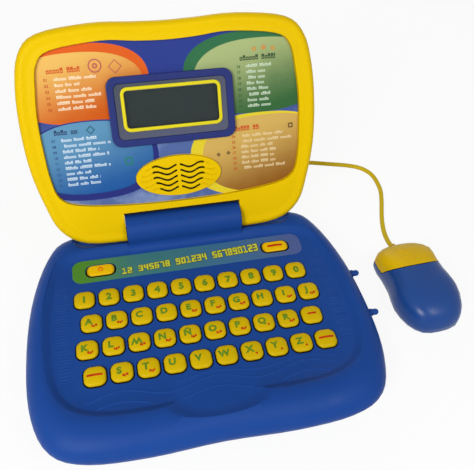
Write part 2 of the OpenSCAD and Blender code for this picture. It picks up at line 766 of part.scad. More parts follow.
module mouse_solid(thin = 0) {
    loft([
        mouse_ring(0.88, 0.8, thin),
        mouse_ring(0.96, 2.6, thin),
        mouse_ring(1, 6, thin),
        mouse_ring(1, mouse_joint, thin),
        mouse_ring(0.985, mouse_joint + (mouse_h - mouse_joint) * 0.3, thin),
        mouse_ring(0.93, mouse_joint + (mouse_h - mouse_joint) * 0.55, thin),
        mouse_ring(0.82, mouse_joint + (mouse_h - mouse_joint) * 0.77, thin),
        mouse_ring(0.62, mouse_joint + (mouse_h - mouse_joint) * 0.92, thin),
        mouse_ring(0.34, mouse_h - 0.2, thin)
    ]);
}

module mouse_shell(z0, z1) {
    intersection() {
        difference() {
            mouse_solid();
            mouse_solid(wall);
        }
        translate([-mouse_w, -mouse_len, z0]) cube([2 * mouse_w, 2 * mouse_len, z1 - z0]);
    }
}

// All that lies in front of the slanting cut at the back edge of the button.
module front_part(offset) {
    translate([0, button_y, mouse_h]) rotate([button_lean, 0, 0])
        translate([-mouse_w, offset, -mouse_len]) cube([2 * mouse_w, mouse_len, 2 * mouse_len]);
}

// The lower shell with its glide feet and the strain relief for the cord.
module mouse_lower_shell() {
    color("royalblue") at_mouse() {
        mouse_shell(0, mouse_joint);
        for (y = [-28, 28]) translate([0, y, 0]) rounded_plate(20, 6, 2.5, 0, 1.2);
        translate([0, mouse_len / 2 - 3, relief_z]) rotate([-90, 0, 0])
            cylinder(r1 = 3.2, r2 = 2.1, h = nose - mouse_len / 2 + 3);
    }
}

module mouse_upper_shell() {
    color("royalblue") at_mouse() difference() {
        mouse_shell(mouse_joint, mouse_h + 1);
        front_part(-button_gap / 2);
    }
}

// The yellow front of the mouse, one wide button.
module mouse_button() {
    color("goldenrod") at_mouse() intersection() {
        mouse_shell(mouse_joint + press_gap, mouse_h + 1);
        front_part(button_gap / 2);
    }
}

cord_start = [port_x, base_d / 2 + relief_len + 0.1, port_z];
cord_end = [mouse_x - sin(mouse_turn) * (nose + pivot_gap), mouse_y + cos(mouse_turn) * (nose + pivot_gap), relief_z];
cord_points = concat([cord_start], [
    [30, 109, 20], [30, 114, 17.5], [29, 121, 11], [24, 131, 5], [15, 140, 2], [2, 147, 2], [-14, 152, 2], [-27, 158, 2],
    [-33, 167, 2], [-27, 177, 2], [-14, 182, 2], [5, 183, 2], [28, 183, 2], [52, 183, 2], [76, 182.5, 2],
    [98, 181, 2], [118, 178, 2], [135, 174.5, 2], [152, 169.5, 2], [168, 164.5, 2], [178, 159.5, 2],
    [184, 153, 2], [187, 145, 2], [187.5, 135, 2], [186.5, 125, 2], [182.5, 112, 2], [177.5, 99, 2],
    [173, 86, 2], [170, 74, 2.5], [168.5, 63, 4]
], [cord_end]);

function unit(v) = v / norm(v);

cord_path = let (p = cord_points, last = len(p) - 1) concat(
    [for (i = [0:last - 1]) for (s = [0:1])
        between(p[max(i - 1, 0)], p[i], p[i + 1], p[min(i + 2, last)], s / 2)],
    [p[last]]
);

// The cord that leads from the back of the base to the mouse, lying on the table.
module mouse_cord() {
    last = len(cord_path) - 1;
    color("goldenrod") loft([
        for (i = [0:last]) let (
            along = unit(cord_path[min(i + 1, last)] - cord_path[max(i - 1, 0)]),
            side = unit(cross(along, [0, 0, 1])),
            up = cross(side, along)
        ) [for (k = [0:7]) cord_path[i] + cord_d / 2 * (cos(k * 45) * side + sin(k * 45) * up)]
    ]);
}

// ---------------------------------------------------------------- nodes

base_bottom_shell();
base_top_shell();
battery_door();
case_screws();
main_board();
key_mat();
cord_grommet();
power_button();
play_button();
lid_back_shell();
lid_front_bezel();
panel_label();
screen_frame();
screen_window();
lcd_module();
speaker();
mouse_lower_shell();
mouse_upper_shell();
mouse_button();
mouse_cord();
for (r = [0:3]) for (c = [0:9]) letter_key(r, c);
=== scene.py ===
# %% [markdown]
# # A toy laptop computer, dressed in Blender
#
# The solid parts of this toy come from its construction model: two blue shells with a
# keyboard between them, a yellow lid with a printed panel and a small display, and a wired
# mouse. This notebook gives them their looks. Parts whose shape is right keep their mesh
# and only get a better material. Parts that need softer edges are copied and finished.
# Prints, beads and ripples are modelled here from primitives.

import math

import bpy
from mathutils import Matrix, Vector


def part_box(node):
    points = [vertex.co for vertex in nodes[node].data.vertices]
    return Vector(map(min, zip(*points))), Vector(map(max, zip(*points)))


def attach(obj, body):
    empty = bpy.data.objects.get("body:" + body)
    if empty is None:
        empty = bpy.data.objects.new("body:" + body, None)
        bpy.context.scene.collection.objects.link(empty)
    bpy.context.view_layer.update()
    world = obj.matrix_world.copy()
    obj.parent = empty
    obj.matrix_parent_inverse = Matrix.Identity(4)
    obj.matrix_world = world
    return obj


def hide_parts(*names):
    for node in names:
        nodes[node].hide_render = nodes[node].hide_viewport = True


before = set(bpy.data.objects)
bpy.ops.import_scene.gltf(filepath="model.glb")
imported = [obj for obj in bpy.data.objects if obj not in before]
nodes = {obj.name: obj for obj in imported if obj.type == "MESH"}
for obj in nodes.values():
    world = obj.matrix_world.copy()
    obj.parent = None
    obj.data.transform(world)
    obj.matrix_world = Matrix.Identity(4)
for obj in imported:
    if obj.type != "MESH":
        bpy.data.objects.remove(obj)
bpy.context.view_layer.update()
MM = 0.001

# %% [markdown]
# ## The camera
#
# The camera looks down at the open toy from the front, a little from the left. A camera
# could be aimed by hand, but its three axes are known here, so they are written straight
# into its matrix: a camera looks along its own -Z, with +Y up.

# %% Camera
RIGHT = Vector((0.97746, -0.20888, 0.03054))
DOWN = Vector((-0.12995, -0.70940, -0.69272))
FORWARD = Vector((0.16636, 0.67314, -0.72056))
CAMERA_PLACE = Vector((-0.04099, -0.25945, 0.38031))
LENS_MM, SENSOR_MM = 47.52, 36
bpy.ops.object.camera_add()
camera = bpy.context.object
camera.name = "camera"
camera.data.lens = LENS_MM
camera.data.sensor_width = SENSOR_MM
turn = Matrix([(RIGHT[i], -DOWN[i], -FORWARD[i]) for i in range(3)]).to_4x4()
turn.translation = CAMERA_PLACE
camera.matrix_world = turn
bpy.context.scene.camera = camera
print("camera height:", round(camera.location.z, 3), "m")

# %% [markdown]
# ## Choosing objects and finishing them
#
# Blender's operators act on whatever is selected, so each step first deselects everything.
# A finished piece sits at the origin with its place in its mesh. Then a pattern that reads
# object coordinates stays put, and the piece can ride on its body without a jump.

# %% Small helpers
def choose(*objects):
    """Selects these objects alone, and makes the last one active."""
    bpy.ops.object.select_all(action="DESELECT")
    for one in objects:
        one.select_set(True)
    bpy.context.view_layer.objects.active = objects[-1]


def settle(piece, place=None):
    """Moves a piece to its place and writes that place into its mesh."""
    if place is not None:
        piece.matrix_world = place @ piece.matrix_world
    choose(piece)
    bpy.ops.object.transform_apply(location=True, rotation=True, scale=True)


def apply_modifier(piece, kind, **settings):
    """Adds a modifier with these settings and applies it at once."""
    modifier = piece.modifiers.new(kind.lower(), kind)
    for name, value in settings.items():
        setattr(modifier, name, value)
    choose(piece)
    bpy.ops.object.modifier_apply(modifier=modifier.name)


def smooth(piece, degrees=35):
    """Shades a piece smooth, except over edges sharper than this."""
    choose(piece)
    bpy.ops.object.shade_smooth_by_angle(angle=math.radians(degrees))


def twin(model):
    """A copy of a piece with its own mesh."""
    piece = model.copy()
    piece.data = model.data.copy()
    bpy.context.scene.collection.objects.link(piece)
    return piece


def join(pieces):
    """Joins several pieces into the last one."""
    choose(*pieces)
    bpy.ops.object.join()
    return bpy.context.object


def give(piece, finish):
    """Puts one finish on a piece in place of any other."""
    piece.data.materials.clear()
    piece.data.materials.append(finish)
    return piece


def hand_over(piece, name, body, finish=None):
    """Names a finished piece, gives it a finish if one is named, and lets it ride on its body."""
    piece.name = name
    piece.data.name = name
    if finish:
        give(piece, finish)
    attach(piece, body)
    return piece


# %% [markdown]
# ## Shader maths
#
# Materials are built from nodes. Adding them one by one makes long code, so a small class
# wraps a node's output: plus, minus, times and the other operators each add one Math node.
# Everything else comes from one method that takes a node's type, settings and inputs.

# %% The shader helpers
class Signal:
    """What comes out of a node. Python's operators on it add Math nodes."""

    def __init__(self, paint, socket):
        self.paint = paint
        self.socket = socket

    def maths(self, operation, *values):
        return self.paint.add("ShaderNodeMath", {"operation": operation}, dict(enumerate(values)))

    def __add__(self, other):
        return self.maths("ADD", self, other)

    def __radd__(self, other):
        return self.maths("ADD", other, self)

    def __sub__(self, other):
        return self.maths("SUBTRACT", self, other)

    def __rsub__(self, other):
        return self.maths("SUBTRACT", other, self)

    def __mul__(self, other):
        return self.maths("MULTIPLY", self, other)

    def __rmul__(self, other):
        return self.maths("MULTIPLY", other, self)

    def __truediv__(self, other):
        return self.maths("DIVIDE", self, other)

    def __pow__(self, other):
        return self.maths("POWER", self, other)

    def __abs__(self):
        return self.maths("ABSOLUTE", self)

    def __lt__(self, other):
        return self.maths("LESS_THAN", self, other)

    def __gt__(self, other):
        return self.maths("GREATER_THAN", self, other)


class Paint:
    """One material: its node tree, and the ways to add to it."""

    def __init__(self, name):
        self.material = bpy.data.materials.new(name)
        self.material.use_nodes = True
        self.tree = self.material.node_tree
        self.shader = self.tree.nodes["Principled BSDF"]

    def feed(self, socket, value):
        if isinstance(value, Signal):
            self.tree.links.new(value.socket, socket)
        else:
            socket.default_value = value

    def add(self, kind, settings=None, inputs=None, out=0):
        node = self.tree.nodes.new(kind)
        for name, value in (settings or {}).items():
            setattr(node, name, value)
        for name, value in (inputs or {}).items():
            self.feed(node.inputs[name], value)
        return Signal(self, node.outputs[out])

    def mix(self, share, a, b):
        """Colour a where share is 0, colour b where it is 1."""
        return self.add("ShaderNodeMix", {"data_type": "RGBA"}, {0: share, 6: a, 7: b}, out=2)

    def rise(self, value, low, high):
        """0 below low, 1 above high, with a soft step between."""
        limits = {"Value": value, "From Min": low, "From Max": high}
        return self.add("ShaderNodeMapRange", {"interpolation_type": "SMOOTHSTEP"}, limits)

    def place(self):
        return self.add("ShaderNodeTexCoord", out="Object")

    def noise(self, scale, detail=3, roughness=0.5):
        inputs = {"Vector": self.place(), "Scale": scale, "Detail": detail, "Roughness": roughness}
        return self.add("ShaderNodeTexNoise", None, inputs)

    def set(self, **sockets):
        for name, value in sockets.items():
            self.feed(self.shader.inputs[name.replace("_", " ")], value)

    def bump(self, height, strength, distance):
        inputs = {"Height": height, "Strength": strength, "Distance": distance}
        self.set(Normal=self.add("ShaderNodeBump", None, inputs))


def rgb(red, green, blue):
    """A colour as it is seen, from 0 to 255, turned into the linear values of a shader."""
    linear = []
    for share in (red / 255, green / 255, blue / 255):
        dark = share < 0.0405
        linear.append(share / 12.92 if dark else ((share + 0.055) / 1.055) ** 2.4)
    return (*linear, 1)


# %% [markdown]
# ## The lid's own frame
#
# The lid leans back on its hinge. Things on it are easier to place in its own frame: across
# it, up it from the hinge, and out of its face. Three directions and one matrix say where
# that frame is. Materials on the lid measure with the same directions.

# %% The lid's own frame
LEAN = math.radians(64)
HINGE = Vector((0, 79, 39.4)) * MM
LID_UP = Vector((0, math.cos(LEAN), math.sin(LEAN)))
LID_OUT = Vector((0, -math.sin(LEAN), math.cos(LEAN)))
ON_LID = Matrix([(1, 0, 0), (0, LID_UP.y, LID_OUT.y), (0, LID_UP.z, LID_OUT.z)]).to_4x4()
ON_LID.translation = HINGE
ON_LID_MM = ON_LID @ Matrix.Scale(MM, 4)
GRILLE_UP = 38.9


def lid_place(paint):
    """Millimetres across the lid, up it from the hinge and out of its face, as signals."""
    found = []
    for way in (Vector((1, 0, 0)), LID_UP, LID_OUT):
        product, inputs = {"operation": "DOT_PRODUCT"}, {0: paint.place(), 1: tuple(way / MM)}
        distance = paint.add("ShaderNodeVectorMath", product, inputs, out="Value")
        found.append(distance - way.dot(HINGE) / MM)
    return found


def oval(across, up, middle, half, power=2.6):
    """Grows from 0 in the middle to 1 on the edge of a soft oval."""
    x = abs(across - middle[0]) / half[0]
    y = abs(up - middle[1]) / half[1]
    return x ** power + y ** power


# %% [markdown]
# ## Moulded plastics
#
# The shells, keys and mouse are moulded in glossy plastic. Real mouldings are never quite
# even: the colour drifts a little, handling dulls the gloss in patches, and the skin has a
# very fine grain. Three noises at different scales give these three effects.

# %% Plastics
def plastic(name, colour, shade, gloss, sheen=0.1, grain=0.00004, dark=None):
    """A moulded plastic whose colour drifts to shade and whose gloss wears in patches. Where a
    mask of painted shade is given, it darkens the colour to dark brown.
    """
    paint = Paint(name)
    drift = paint.rise(paint.noise(9, 4), 0.3, 0.75)
    wear = paint.noise(55, 5, 0.6)
    body = paint.mix(drift * 0.55, colour, shade)
    if dark is not None:
        # Painted shade: where the mask is 1, the colour goes to dark brown.
        body = paint.mix(dark(paint), body, rgb(38, 26, 10))
    paint.set(Base_Color=body, Specular_IOR_Level=sheen)
    paint.set(Roughness=paint.rise(wear, 0.25, 0.8) * 0.16 + gloss)
    paint.bump(paint.noise(1400, 2), 0.35, grain)
    return paint.material


def key_gap_shade(paint):
    """Painted shade on a key: 1 in the gap round it, fading out over the first millimetre above
    the deck, and 0 on its top.
    """
    height = paint.add("ShaderNodeSeparateXYZ", None, {0: paint.place()}, out="Z")
    return 1 - paint.rise(height, 0.0301, 0.0311)


def grille_slot_shade(paint):
    """Painted shade on the walls of the slots in the grille: 1 there, so that they look as deep as
    they are.
    """
    across, up, out = lid_place(paint)
    from_middle = (across * across + (up - GRILLE_UP) * (up - GRILLE_UP)) / 800
    return (oval(across, up, (0, GRILLE_UP), (25, 13)) < 1) * (out + from_middle < 4.3)


LID_YELLOW = (rgb(228, 191, 2), rgb(220, 181, 0), 0.34, 0.05)
blue_plastic = plastic("blue_plastic", rgb(25, 67, 142), rgb(21, 61, 132), 0.36)
yellow_plastic = plastic("yellow_plastic", *LID_YELLOW)
# The bezel carries painted shade on the walls of its grille slots.
bezel_yellow = plastic("bezel_yellow", *LID_YELLOW, dark=grille_slot_shade)
# The keys and the oblong buttons carry painted shade low down, round their feet.
key_yellow = plastic("key_yellow", rgb(210, 177, 2), rgb(186, 158, 0), 0.34, dark=key_gap_shade)
pill_yellow = plastic("pill_yellow", rgb(236, 190, 6), rgb(226, 178, 2), 0.3, dark=key_gap_shade)
bead_yellow = plastic("bead_yellow", rgb(222, 208, 36), rgb(206, 192, 26), 0.3)
mouse_yellow = plastic("mouse_yellow", rgb(224, 184, 8), rgb(206, 166, 4), 0.3)
mouse_blue = plastic("mouse_blue", rgb(30, 72, 140), rgb(24, 62, 126), 0.2, 0.2)
frame_blue = plastic("frame_blue", rgb(42, 52, 112), rgb(36, 46, 100), 0.3)
cord_yellow = plastic("cord_yellow", rgb(204, 176, 20), rgb(188, 160, 14), 0.4, grain=0.00001)
# Near black, for the pieces that fill gaps at the hinge: painted shade.
painted_gap_shade = plastic("painted_gap_shade", rgb(30, 26, 22), rgb(20, 18, 16), 0.6)
print("plastics made:", len(bpy.data.materials))

# %% [markdown]
# ## The mouse cord
#
# The cord is a limp yellow lead that leaves the back of the base, lies on the table behind
# the lid and comes round to the mouse. A curve with round thickness is the natural way to
# make it. Its handles follow the neighbours of each point, which gives one smooth line.

# %% The cord
CORD_D = 3.8 * MM
CORD_ROUTE = [
    (30, 104.6, 20), (30, 109, 20), (30, 114, 17.5), (29, 121, 11), (24, 131, 5), (15, 140, 2),
    (2, 147, 2), (-14, 152, 2), (-27, 158, 2), (-33, 167, 2), (-27, 177, 2), (-14, 182, 2),
    (5, 183, 2), (28, 183, 2), (52, 183, 2), (76, 182.5, 2), (98, 181, 2), (118, 178, 2),
    (135, 174.5, 2), (152, 169.5, 2), (168, 164.5, 2), (178, 159.5, 2), (184, 153, 2),
    (187, 145, 2), (187.5, 135, 2), (186.5, 125, 2), (182.5, 112, 2), (177.5, 99, 2),
    (173, 86, 2), (170, 74, 2.5), (168.5, 63, 4), (168.428, 53.557, 6),
]
line = bpy.data.curves.new("cord_line", "CURVE")
line.dimensions = "3D"
line.bevel_depth = CORD_D / 2
line.bevel_resolution = 4
line.resolution_u = 8
line.use_fill_caps = True
spline = line.splines.new("BEZIER")
spline.bezier_points.add(len(CORD_ROUTE) - 1)
stops = [Vector(p) * MM for p in CORD_ROUTE]
for i, point in enumerate(spline.bezier_points):
    lean = (stops[min(i + 1, len(stops) - 1)] - stops[max(i - 1, 0)]) / 6
    point.co = stops[i]
    point.handle_left = stops[i] - lean
    point.handle_right = stops[i] + lean
cord = bpy.data.objects.new("mouse_lead", line)
bpy.context.scene.collection.objects.link(cord)
hand_over(cord, "mouse_lead", "base", cord_yellow)
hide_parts("mouse_cord")
give(nodes["cord_grommet"], cord_yellow)
print("cord points:", len(stops))

# %% [markdown]
# ## Smooth copies of the shells
#
# The shells come as loose triangles, so each facet would show. A copy is merged into one
# skin and shaded smooth up to an angle. That keeps the crisp moulded edges and lets the
# broad surfaces run on without facets.

# %% Shells
def copy_of(node, name, degrees=35):
    """A merged copy of a CAD node's mesh, shaded smooth."""
    piece = bpy.data.objects.new(name, nodes[node].data.copy())
    bpy.context.scene.collection.objects.link(piece)
    choose(piece)
    bpy.ops.mesh.customdata_custom_splitnormals_clear()
    bpy.ops.object.mode_set(mode="EDIT")
    bpy.ops.mesh.select_all(action="SELECT")
    bpy.ops.mesh.remove_doubles(threshold=0.01 * MM)
    bpy.ops.object.mode_set(mode="OBJECT")
    smooth(piece, degrees)
    return piece


def bevelled_copy(node, name, width, degrees=50, segments=3):
    """A merged copy of a CAD node with its sharp edges rounded."""
    piece = copy_of(node, name)
    bpy.ops.object.mode_set(mode="EDIT")
    bpy.ops.mesh.select_all(action="SELECT")
    bpy.ops.mesh.dissolve_limited(angle_limit=math.radians(0.5))
    bpy.ops.object.mode_set(mode="OBJECT")
    apply_modifier(
        piece, "BEVEL", width=width * MM, segments=segments, limit_method="ANGLE",
        angle_limit=math.radians(degrees),
    )
    smooth(piece, degrees)
    return piece


SHELLS = [
    ("base_bottom_shell", "base", "blue_plastic", blue_plastic),
    ("base_top_shell", "base", "blue_plastic", blue_plastic),
    ("lid_back_shell", "lid", "yellow_plastic", yellow_plastic),
    ("lid_front_bezel", "lid", "yellow_plastic", bezel_yellow),
    ("mouse_lower_shell", "mouse", "blue_plastic", mouse_blue),
    ("mouse_upper_shell", "mouse", "blue_plastic", mouse_blue),
    ("mouse_button", "mouse_click", "mouse_yellow", mouse_yellow),
]
for node, body, slot, finish in SHELLS:
    shell = copy_of(node, node + "_skin")
    hand_over(shell, node + "_skin", body, finish)
    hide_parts(node)
    print(node, len(shell.data.polygons), "faces")


# %% [markdown]
# ## Keys
#
# Each key is a soft pillow with a domed top, a skirt that keeps it in the deck and a stem. A
# cap grows from a rounded plate: pushed up for the skirt, set in for the neck, pushed up
# again for the body, then set in ring after ring. The rings are laid on a dome, and the
# outer ones drop along a quarter circle, which gives the soft rim. One cap is modelled, then
# copied forty times, each copy with its own mesh, because each key goes down by itself.

# %% Rounded plates
def rounded_face(width, height, radius, corners):
    """A flat face with rounded corners in millimetres. It stays in edit mode, selected."""
    bpy.ops.mesh.primitive_plane_add(size=1)
    face = bpy.context.object
    face.scale = (width, height, 1)
    choose(face)
    bpy.ops.object.transform_apply(location=False, rotation=False, scale=True)
    bpy.ops.object.mode_set(mode="EDIT")
    bpy.ops.mesh.select_all(action="SELECT")
    bpy.ops.mesh.bevel(offset=radius, segments=corners, affect="VERTICES")
    bpy.ops.mesh.select_all(action="SELECT")
    return face


def pull(height):
    """Extrudes what is selected straight up."""
    bpy.ops.mesh.extrude_region_move(TRANSFORM_OT_translate={"value": (0, 0, height)})


def close_up():
    """Turns every face outwards and leaves edit mode."""
    bpy.ops.mesh.select_all(action="SELECT")
    bpy.ops.mesh.normals_make_consistent(inside=False)
    bpy.ops.object.mode_set(mode="OBJECT")


def raise_ring(line_width, height):
    """Makes a standing ring of a selected face: set in, opened in the middle, pulled up."""
    bpy.ops.mesh.inset(thickness=line_width, depth=0)
    bpy.ops.mesh.delete(type="FACE")
    bpy.ops.mesh.select_all(action="SELECT")
    pull(height)
    close_up()


# %% The cap of a key
SKIRT_LOW, SKIRT_TOP, SKIRT_WIDTH = 26.5, 27.6, 1.2
STEM_LOW, STEM_R = 25.5, 2.6
RINGS = [0.08, 0.14, 0.2, 0.26, 0.32, 0.9, 0.95]
ROUGH_BODY = 4


def key_cap(width, depth, radius, top, dome, soft):
    """A key in millimetres at the middle of the deck: skirt, body with a soft rim, stem."""
    wider = 2 * SKIRT_WIDTH
    cap = rounded_face(width + wider, depth + wider, radius + SKIRT_WIDTH, 7)
    pull(SKIRT_TOP - SKIRT_LOW)
    bpy.ops.mesh.inset(thickness=SKIRT_WIDTH, depth=0)
    pull(ROUGH_BODY)
    for ring in RINGS:
        bpy.ops.mesh.inset(thickness=ring * soft, depth=0)
    bpy.ops.mesh.poke()
    close_up()
    for vertex in cap.data.vertices:
        x, y, z = vertex.co
        vertex.co.z = z + SKIRT_LOW
        if z > ROUGH_BODY:
            ax = abs(x) - width / 2 + radius
            ay = abs(y) - depth / 2 + radius
            inside = radius - math.hypot(max(ax, 0), max(ay, 0)) - min(max(ax, ay), 0)
            rim = max(soft - max(inside, 0), 0)
            drop = soft - math.sqrt(soft * soft - rim * rim)
            vertex.co.z = top - drop + math.sqrt(dome * dome - x * x - y * y) - dome
    bpy.ops.mesh.primitive_cylinder_add(
        vertices=20, radius=STEM_R, depth=1, location=(0, 0, STEM_LOW + 0.5),
    )
    cap = join([bpy.context.object, cap])
    settle(cap, Matrix.Scale(MM, 4))
    smooth(cap, 40)
    return cap


KEY_ROWS = [
    ["1", "2", "3", "4", "5", "6", "7", "8", "9", "0"],
    ["a", "b", "c", "d", "e", "f", "g", "h", "i", "j"],
    ["k", "l", "m", "n", "enye", "o", "p", "q", "r", "dash"],
    ["left", "s", "t", "u", "v", "w", "x", "y", "z", "right"],
]
KEY_NAMES = [name for row in KEY_ROWS for name in row]
KEY_DOME, KEY_TOP = 29.2, 33
PILL_DOME, PILL_TOP, PILL_X = 42, 31.8, 65.6


def middle_of(node):
    """The middle of a CAD node seen from above, in millimetres."""
    low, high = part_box(node)
    return (low.x + high.x) / 2 / MM, (low.y + high.y) / 2 / MM


def place_caps(model, names, finish):
    """Puts a copy of one cap at each of these CAD nodes."""
    for node in names:
        cap = twin(model)
        x, y = middle_of(node)
        settle(cap, Matrix.Translation((x * MM, y * MM, 0)))
        hand_over(cap, node + "_cap", node, finish)
        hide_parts(node)
    bpy.data.objects.remove(model)


key_model = key_cap(14.2, 14.2, 4.8, KEY_TOP, KEY_DOME, 1.5)
print("faces of a key:", len(key_model.data.polygons))
place_caps(key_model, ["key_" + name for name in KEY_NAMES], key_yellow)
pill_model = key_cap(20.7, 10.3, 4.3, PILL_TOP, PILL_DOME, 1.1)
place_caps(pill_model, ["power_button", "play_button"], pill_yellow)

# %% [markdown]
# ## Signs on the keys
#
# The signs are printed, so they have to follow the dome of each cap. Flat letters would
# sink in the middle. So each sign is made as text, turned into a mesh, cut into small
# fields and laid on the dome.

# %% Printing inks
def ink(name, colour, shade):
    """A printing ink: nearly flat, slightly uneven."""
    paint = Paint(name)
    paint.set(Base_Color=paint.mix(paint.rise(paint.noise(300, 4), 0.35, 0.7), colour, shade))
    paint.set(Roughness=paint.rise(paint.noise(900, 2), 0.3, 0.8) * 0.15 + 0.38)
    paint.set(Specular_IOR_Level=0.12)
    return paint.material


green_ink = ink("green_ink", rgb(104, 140, 30), rgb(88, 124, 26))
red_ink = ink("red_ink", rgb(196, 62, 14), rgb(176, 44, 10))
orange_ink = ink("orange_ink", rgb(236, 110, 10), rgb(214, 88, 6))
title_yellow = ink("title_yellow", rgb(206, 206, 60), rgb(186, 186, 50))
title_dark = ink("title_dark", rgb(34, 62, 66), rgb(26, 48, 58))


# %% Text on a dome
def lettering(words, size, bold, depth, lines=1.0, letters=1.0):
    """Flat text as a thin closed mesh in millimetres, centred on the origin."""
    bpy.ops.object.text_add(location=(0, 0, 0))
    sign = bpy.context.object
    sign.data.body = words
    sign.data.size = size
    sign.data.offset = bold
    sign.data.extrude = depth / 2
    sign.data.resolution_u = 3
    sign.data.space_line = lines
    sign.data.space_character = letters
    sign.data.align_x = "CENTER"
    sign.data.align_y = "CENTER"
    choose(sign)
    bpy.ops.object.convert(target="MESH")
    choose(sign)
    bpy.ops.object.mode_set(mode="EDIT")
    bpy.ops.mesh.select_all(action="SELECT")
    bpy.ops.mesh.remove_doubles(threshold=0.001)
    bpy.ops.object.mode_set(mode="OBJECT")
    return sign


def tablet(width, height, radius, depth, corners=4):
    """A thin plate with rounded corners in millimetres, centred on the origin."""
    plate = rounded_face(width, height, radius, corners)
    pull(depth)
    bpy.ops.mesh.select_all(action="SELECT")
    bpy.ops.transform.translate(value=(0, 0, -depth / 2))
    close_up()
    return plate


def triangle(size, degrees, depth):
    """A thin triangle in millimetres that points up, then is turned by these degrees."""
    turned = (0, 0, math.radians(degrees))
    bpy.ops.mesh.primitive_cylinder_add(vertices=3, radius=size, depth=depth, rotation=turned)
    return bpy.context.object


def cut_fields(piece, step, reach):
    """Cuts a flat piece into small fields, so that it can follow a curved face."""
    choose(piece)
    bpy.ops.object.mode_set(mode="EDIT")
    count = int(reach / step)
    for axis in ((1, 0, 0), (0, 1, 0)):
        for k in range(-count, count + 1):
            bpy.ops.mesh.select_all(action="SELECT")
            bpy.ops.mesh.bisect(plane_co=[k * step * a for a in axis], plane_no=axis)
    bpy.ops.object.mode_set(mode="OBJECT")


def lay_on_dome(piece, radius, top, centre):
    """Bends a piece over a dome and moves it to its key. It keeps its own thickness."""
    for vertex in piece.data.vertices:
        x, y, z = vertex.co
        height = math.sqrt(radius * radius - x * x - y * y) - radius
        vertex.co = ((x + centre[0]) * MM, (y + centre[1]) * MM, (top + height + z) * MM)


def shift(piece, x, y):
    """Moves a flat piece in its own plane."""
    choose(piece)
    piece.location = (x, y, 0)
    bpy.ops.object.transform_apply(location=True, rotation=True, scale=True)
    return piece


# %% Print the keys
PRINT = 0.12
ARROWS = {"q": 90, "x": 180, "y": -90, "z": 0}
PLAIN_LETTERS = "cdhuvw"


def word_marks(seed, width):
    """A few tiny blocks in an uneven row, as small as the real key's second sign."""
    blocks = []
    left = -width / 2
    for k in range(3):
        wide = width * (0.24 + 0.1 * ((seed * 7 + k * 5) % 3))
        block = tablet(wide * 0.94, 1.7, 0.3, PRINT, 2)
        blocks.append(give(shift(block, left + wide / 2, (0.1, -0.2, 0.6)[k]), red_ink))
        left += wide + 0.1
    return join(blocks)


for number, name in enumerate(KEY_NAMES):
    parts = []
    if name in ("left", "right", "dash"):
        wide = 6.2 if name == "dash" else 10.2
        parts.append(give(tablet(wide, 1.5, 0.3, PRINT, 2), red_ink))
    elif name in KEY_ROWS[0]:
        parts.append(give(shift(lettering(name, 7.4, 0.38, PRINT), 0, -1.3), green_ink))
    else:
        letter = "Ñ" if name == "enye" else name.upper()
        sign = lettering("W" if name == "m" else letter, 6.7, 0.34, PRINT)
        if name == "m":
            sign.rotation_euler.z = math.pi
        parts.append(give(shift(sign, -1.7, 0), green_ink))
        if name in ARROWS:
            head = give(triangle(1.25, ARROWS[name], PRINT), red_ink)
            tail = give(tablet(1.1, 1.1, 0.2, PRINT, 2), red_ink)
            parts.append(shift(join([head, tail]), 2.4, -3.4))
        elif name not in PLAIN_LETTERS:
            parts.append(shift(word_marks(number, 3.6), 1.9, -3.6))
    sign = join(parts) if len(parts) > 1 else parts[0]
    cut_fields(sign, 1.6, 5.3)
    lay_on_dome(sign, KEY_DOME, KEY_TOP, middle_of("key_" + name))
    hand_over(sign, "key_" + name + "_print", "key_" + name)
print("printed keys:", len(KEY_NAMES))

# %% [markdown]
# ## The printed panel in the lid
#
# A printed sheet fills the lid: four coloured fields with short lists, on a blue ground. It
# could be cut from many flat shapes, but a print has no thickness, so it is drawn in the
# material. Distances from a field's middle make its edge, its band and its shading.

# %% The panel's art
def white_noise(paint, **inputs):
    """A random share from 0 to 1, the same for equal inputs."""
    if "W" in inputs:
        return paint.add("ShaderNodeTexWhiteNoise", {"noise_dimensions": "1D"}, inputs)
    cell = paint.add("ShaderNodeCombineXYZ", None, inputs)
    return paint.add("ShaderNodeTexWhiteNoise", {"noise_dimensions": "2D"}, {"Vector": cell})


LIST_PITCH = 4.05


def list_lines(paint, across, up, corner, rows, longest, seed, pitch=LIST_PITCH, wide=1.45):
    """Lines of small blocks in groups, which stand for the entries of a list."""
    down = (corner[1] - up) / pitch
    row = down.maths("FLOOR", down)
    column = (across - corner[0]) / wide
    cell = column.maths("FLOOR", column)
    luck = white_noise(paint, W=row + seed)
    group = luck * 3 + 4.3
    word = cell / group
    blank = ((word - word.maths("FLOOR", word)) * group) < 1
    ends = (column > 0) * (column < (luck * 0.45 + 0.55) * (longest / wide))
    tall = white_noise(paint, X=cell + seed, Y=row) > 0.6
    line = down - row
    height = (line > (0.2 - tall * 0.16)) * (line < 0.58)
    side = column - cell
    hollow = (abs(side - 0.42) < 0.2) * (abs(line - 0.4) < 0.07)
    block = ends * height * (side < 0.86) * (1 - blank) * (1 - hollow * 0.8)
    return (down > 0) * (down < rows) * block


def figure(across, up, middle, size, line, power):
    """The outline of a ring (power 2), a diamond (1) or a soft square (5)."""
    reach = (abs(across - middle[0]) ** power + abs(up - middle[1]) ** power) ** (1 / power)
    return abs(reach - size) < line / 2


